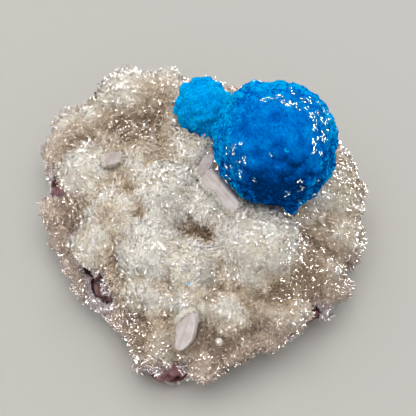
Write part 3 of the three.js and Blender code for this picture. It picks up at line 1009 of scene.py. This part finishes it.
# %% Tablets
PEARL = make_clouded(
    "stilbite_pearl", (2 * MM,), [(0.2, (0.5, 0.43, 0.42)), (0.8, (0.59, 0.54, 0.56))],
    (0.25 * MM, 0.015 * MM), Roughness=0.3, Specular_IOR_Level=0.02, Subsurface_Weight=0.6,
    Subsurface_Scale=0.5 * MM, Subsurface_Radius=(1.0, 0.85, 0.9),
)
RIM, RIM_HEIGHT = 0.25 * MM, 0.05 * MM
STRIP, STRIP_RELIEF = 0.22 * MM, 0.022 * MM
SAME_FACE = math.radians(1)  # faces that turn by less than this are merged
SAME_WAY = 0.99  # the cosine up to which a face counts as one of the broad ones
ON_FACE, ON_CUT = 0.01 * MM, 0.005 * MM  # how near counts as on it


def make_tablet(node, chance):
    piece = solid_copy(node, node + "_crystal")
    on_whole_mesh(piece, bpy.ops.mesh.dissolve_limited, angle_limit=SAME_FACE)
    broad = max(piece.data.polygons, key=lambda polygon: polygon.area)
    thick = np.array(broad.normal)
    points = places(piece.data)
    middle = points.mean(0)
    flat = points - middle
    flat -= np.outer(flat @ thick, thick)
    lengthwise = np.linalg.svd(flat, full_matrices=False)[2][0]
    across = np.cross(thick, lengthwise)

    def on_broad(centre, normal):
        return abs(np.dot(normal, thick)) > SAME_WAY

    pick_faces(piece, on_broad)
    bpy.ops.mesh.inset(thickness=RIM, depth=-RIM_HEIGHT, use_individual=True)
    bpy.ops.object.mode_set(mode="OBJECT")
    depths = (places(piece.data) - middle) @ thick
    sunk = [depths.min() + RIM_HEIGHT, depths.max() - RIM_HEIGHT]

    def on_sunk(centre, normal):
        depth = np.dot(np.array(centre) - middle, thick)
        return on_broad(centre, normal) and min(abs(depth - level) for level in sunk) < ON_FACE

    widths = (points - middle) @ across
    cuts = np.arange(widths.min() + STRIP, widths.max(), STRIP)
    for cut in cuts:
        pick_faces(piece, on_sunk)
        bpy.ops.mesh.bisect(plane_co=middle + across * cut, plane_no=across)
        bpy.ops.object.mode_set(mode="OBJECT")
    points = places(piece.data)
    depths, widths = (points - middle) @ thick, (points - middle) @ across
    relief = np.interp(widths, cuts, chance.uniform(-1, 1, len(cuts)) * STRIP_RELIEF)
    on_cut = np.abs(widths[:, None] - cuts[None]).min(1) < ON_CUT
    for level, side in zip(sunk, (-1, 1)):
        here = on_cut & (np.abs(depths - level) < ON_CUT)
        points[here] += side * relief[here, None] * thick
    set_places(piece.data, points)
    print(f"{piece.name}: {len(cuts)} cuts, {len(piece.data.polygons)} faces")
    return piece


chance = np.random.default_rng(8)
for node in TABLET_NODES:
    dress(make_tablet(node, chance), PEARL, node)

# %% [markdown]
# ## The tablets' feet
# A tablet doesn't lie on the crust: both grew together, and small crystals climbed its edge. There are many
# on the side away from the balls, which is nearly buried, and few on the other, which stays clean. They
# grow only where the edge is close to the crust, and take their colour from it.

# %% Small crystals along the tablets' edges
FOOT_REACH = 1.2 * MM  # how close to the crust an edge has crystals on it
FOOT_SPACING = 0.13 * MM
FOOT_SHARES = 0.1, 1.0  # how many of them grow on the clean and on the buried side
FOOT_SIZE, FOOT_SINK = (0.26, 0.17, 0.6), 0.15 * MM
EDGE = 0.85  # the cosine below which a face counts as narrow
BURIED_SIDE = -0.4, 0.3  # how far a face looks away from the balls there
crust_faces = faces_of(["stilbite_druse"])


def edge_points(node, chance):
    """Points strewn over a tablet's narrow faces, and which way those faces look."""
    mesh = NODES[node].data
    points = places(mesh)
    thick = np.linalg.svd(points - points.mean(0), full_matrices=False)[2][2]
    strewn, looks = [], []
    for polygon in mesh.polygons:
        look = np.array(polygon.normal)
        if abs(look @ thick) < EDGE:
            count = chance.poisson(polygon.area / FOOT_SPACING**2)
            strewn.append(chance.dirichlet((1, 1, 1), count) @ points[list(polygon.vertices)[:3]])
            looks.append(np.tile(look, (count, 1)))
    return np.concatenate(strewn), np.concatenate(looks)


def make_foot_crystals(chance):
    edges = [edge_points(node, chance) for node in TABLET_NODES]
    roots, looks = [np.concatenate(found) for found in zip(*edges)]
    buried = smoothstep(*BURIED_SIDE, -looks[:, 0])
    keep = chance.random(len(roots)) < between(*FOOT_SHARES, buried)
    keep &= distance_to(crust_faces, roots, FOOT_REACH) < FOOT_REACH
    roots, looks = roots[keep], looks[keep]
    count = len(roots)
    axes = unit(0.8 * looks + (0, 0, 0.5) + 0.6 * chance.normal(size=(count, 3)))
    sizes = varied(FOOT_SIZE, count, chance, least=0.6, spread=0.8)
    cut_short(sizes, balls, roots, axes)
    nearest, _ = nearest_seed(roots, places(druse_skin.data))
    return grown(
        "stilbite_on_tablets", STILBITE_SPLINTER, roots - axes * FOOT_SINK, axes, sizes, chance, uneven=0.3,
        height=druse["tall"][nearest], own=chance.random(count), rock=0.0,
        skin=unit(0.5 * looks + (0, 0, 1)), soft=0.7,
    )


dress_druse(make_foot_crystals(np.random.default_rng(29)), STILBITE)

# %% [markdown]
# ## Basalt
# Broken basalt is dark, a little rusty, and chipped: small flat breaks that meet at blunt edges. The solid's
# skin is shared out among seeds, and each seed's share is tilted its own way, like one chip. Here and there
# small stilbite crystals grew on it, too.

# %% The chipped rock
BASALT = make_clouded(
    "basalt", (2.2 * MM, 5.0),
    [(0.15, (0.02, 0.011, 0.012)), (0.45, (0.12, 0.035, 0.037)), (0.85, (0.25, 0.13, 0.15))],
    (0.3 * MM, 0.08 * MM), Roughness=0.6, Specular_IOR_Level=0.02,
)
ROCK_VOXEL, ROCK_SMOOTHING = 0.42 * MM, 8
CHIP, CHIP_DEPTH = 1.3 * MM, 0.22 * MM
CHIP_TILT, CHIP_LEVELS = 0.3, (-0.5, 0.2)
ROOM_ON_ROCK = 0.7 * MM
ROCK_FOOT = 1 * MM  # below this height it isn't chipped, so that it rests on its flat underside
druse_faces = faces_of([node for node in NODES if node != "basalt_matrix"])


def make_rock(chance):
    """The chipped rock, and which of its corners lie open to the air."""
    rock = skin_of("basalt_matrix", "basalt_rock", ROCK_VOXEL, ROCK_SMOOTHING)
    points, facing = places(rock.data), normals(rock.data)
    open_air = clear_way(druse_faces, points, facing, ROOM_ON_ROCK) >= ROOM_ON_ROCK
    open_air &= points[:, 2] > ROCK_FOOT
    seeds, which, _ = shared_out(points, CHIP, chance)
    tilts = CHIP_TILT * chance.normal(size=(len(seeds), 3))
    chip = dots(points - points[seeds][which], tilts[which])
    chip += chance.uniform(*CHIP_LEVELS, len(seeds))[which] * CHIP_DEPTH
    chip = np.clip(chip, -CHIP_DEPTH, np.where(open_air, 0.5 * CHIP_DEPTH, 0))
    chip[points[:, 2] < ROCK_FOOT] = 0
    set_places(rock.data, points + facing * chip[:, None])
    print(f"rock: {len(points)} corners, {open_air.sum()} in the open, {len(seeds)} chips")
    return rock, open_air


chance = np.random.default_rng(13)
rock, open_air = make_rock(chance)
dress(rock, BASALT, "basalt_matrix")

# %% The crystals on the rock
CLUMP_SPACING, CLUMP_RADIUS = 2.2 * MM, 1.25 * MM
CLUMP_LOWEST = 1.5 * MM
CLUMP_SHARES = 0.8, 0.3  # how much of the rock they cover on its right and on its left
ROCK_CRYSTAL, ROCK_SHORTEST = (0.3, 0.16, 0.7), 0.35 * MM


def make_rock_crystals(rock, open_air, chance):
    """Small stilbite crystals in clumps, three at each corner."""
    points, facing = places(rock.data), normals(rock.data)
    seeds, which, distance = shared_out(points, CLUMP_SPACING, chance)
    share = np.where(points[seeds][:, 0] > 0, *CLUMP_SHARES)
    grows = (chance.random(len(seeds)) < share)[which] & (distance < CLUMP_RADIUS)
    picked = np.where(open_air & grows & (points[:, 2] > CLUMP_LOWEST))[0].repeat(3)
    count = len(picked)
    axes = unit(facing[picked] + 0.5 * chance.normal(size=(count, 3)))
    sizes = varied(ROCK_CRYSTAL, count, chance, least=0.6, spread=0.8)
    roots = points[picked] + chance.normal(size=(count, 3)) * 0.15 * MM - axes * 0.3 * MM
    cut_short(sizes, druse_faces, roots, axes)
    keep = sizes[:, 2] > ROCK_SHORTEST
    tall = 0.3 + 0.5 * chance.random(count)
    return grown(
        "stilbite_on_rock", STILBITE_TABLET, roots[keep], axes[keep], sizes[keep], chance, uneven=0.06,
        height=tall[keep], own=chance.random(count)[keep], rock=0.8, skin=facing[picked][keep], soft=0.3,
    )


dress_druse(make_rock_crystals(rock, open_air, chance), STILBITE_GLASSY)

# %% [markdown]
# ## Single crystals
# A few crystals are noticed one by one. A speck of cavansite, under half a millimetre, grew alone on the
# crust. One round tablet lies flat near the front and mirrors the light. Behind the balls stand small
# peach-coloured clumps. Each clump fans out from one place, like everything else here.

# %% Single crystals
# places in mm, and which way they face
PEACH_CLUMPS = [(4.8, 22.2, 14.6), (5.5, 22.4, 14.8), (0.6, 23.5, 15.1), (1.5, 23.2, 15.1), (2.2, 22.7, 15.1)]
PEACH_FACING = (0, 0.5, 0.8)
SPECK, SPECK_FACING = (-2.4, -12.67, 16.35), (0.43, 0.15, 0.89)
ROUND_FACE, ROUND_FACING = (2.5, -20.3, 11.3), (-0.42, -0.52, 0.74)
ROUND_SIZE, ROUND_HALF = (1.25, 0.3, 1.25), 0.6 * MM


def fixed_values(count, tall, facing, chance):
    """What the materials read, alike for all crystals of a clump but for chance."""
    skin = np.tile(unit(np.array(facing)), (count, 1))
    return {"height": tall, "own": chance.random(count), "rock": 0.0, "skin": skin, "soft": 0.3}


def make_clump(name, shape, middles, facing, each, size, spread, tall, chance):
    roots = np.repeat(np.array(middles) * MM, each, axis=0)
    roots += spread * chance.normal(size=roots.shape)
    axes = unit(np.array(facing) + 0.5 * chance.normal(size=roots.shape))
    sizes = varied(size, len(roots), chance, least=0.7, spread=0.6)
    values = fixed_values(len(roots), tall, facing, chance)
    return grown(name, shape, roots, axes, sizes, chance, uneven=0.06, **values)


chance = np.random.default_rng(17)
peach = make_clump(
    "stilbite_behind_balls", STILBITE_TABLET, PEACH_CLUMPS, PEACH_FACING, each=16,
    size=(0.3, 0.16, 0.9), spread=0.3 * MM, tall=0.45, chance=chance,
)
dress_druse(peach, STILBITE_PEACH)
speck = make_clump(
    "cavansite_speck", CAVANSITE_PRISM, [SPECK], SPECK_FACING, each=14,
    size=(0.15, 0.12, 0.32), spread=0.09 * MM, tall=0.8, chance=chance,
)
speck.data.materials.append(SKY_BLUES[1])
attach(speck, "root")
across = unit(np.cross(ROUND_FACING, (1, 0, 0)))[None]
round_tablet = grown(
    "stilbite_round_tablet", STILBITE_TABLET, np.array([ROUND_FACE]) * MM - across * ROUND_HALF, across,
    np.array([ROUND_SIZE]) * MM, chance, uneven=0.0, sideways=np.cross(across, ROUND_FACING),
    **fixed_values(1, 0.9, ROUND_FACING, chance),
)
dress_druse(round_tablet, STILBITE_GLASSY)

# %% [markdown]
# ## The floor
# The specimen rests on a plain pale table, far wider than itself, so that no edge shows.

# %% The floor
FLOOR_SIZE, FLOOR_GREY = 6, (0.5, 0.5, 0.49)
bpy.ops.object.select_all(action="DESELECT")
bpy.ops.mesh.primitive_plane_add(size=FLOOR_SIZE, location=(0, 0, 0))
floor = bpy.context.object
floor.name = "floor"
floor_material, _, floor_shader = new_material("pale_floor", Roughness=0.8)
floor_shader.inputs["Base Color"].default_value = (*FLOOR_GREY, 1)
floor.data.materials.append(floor_material)
print(f"floor {FLOOR_SIZE} m wide")
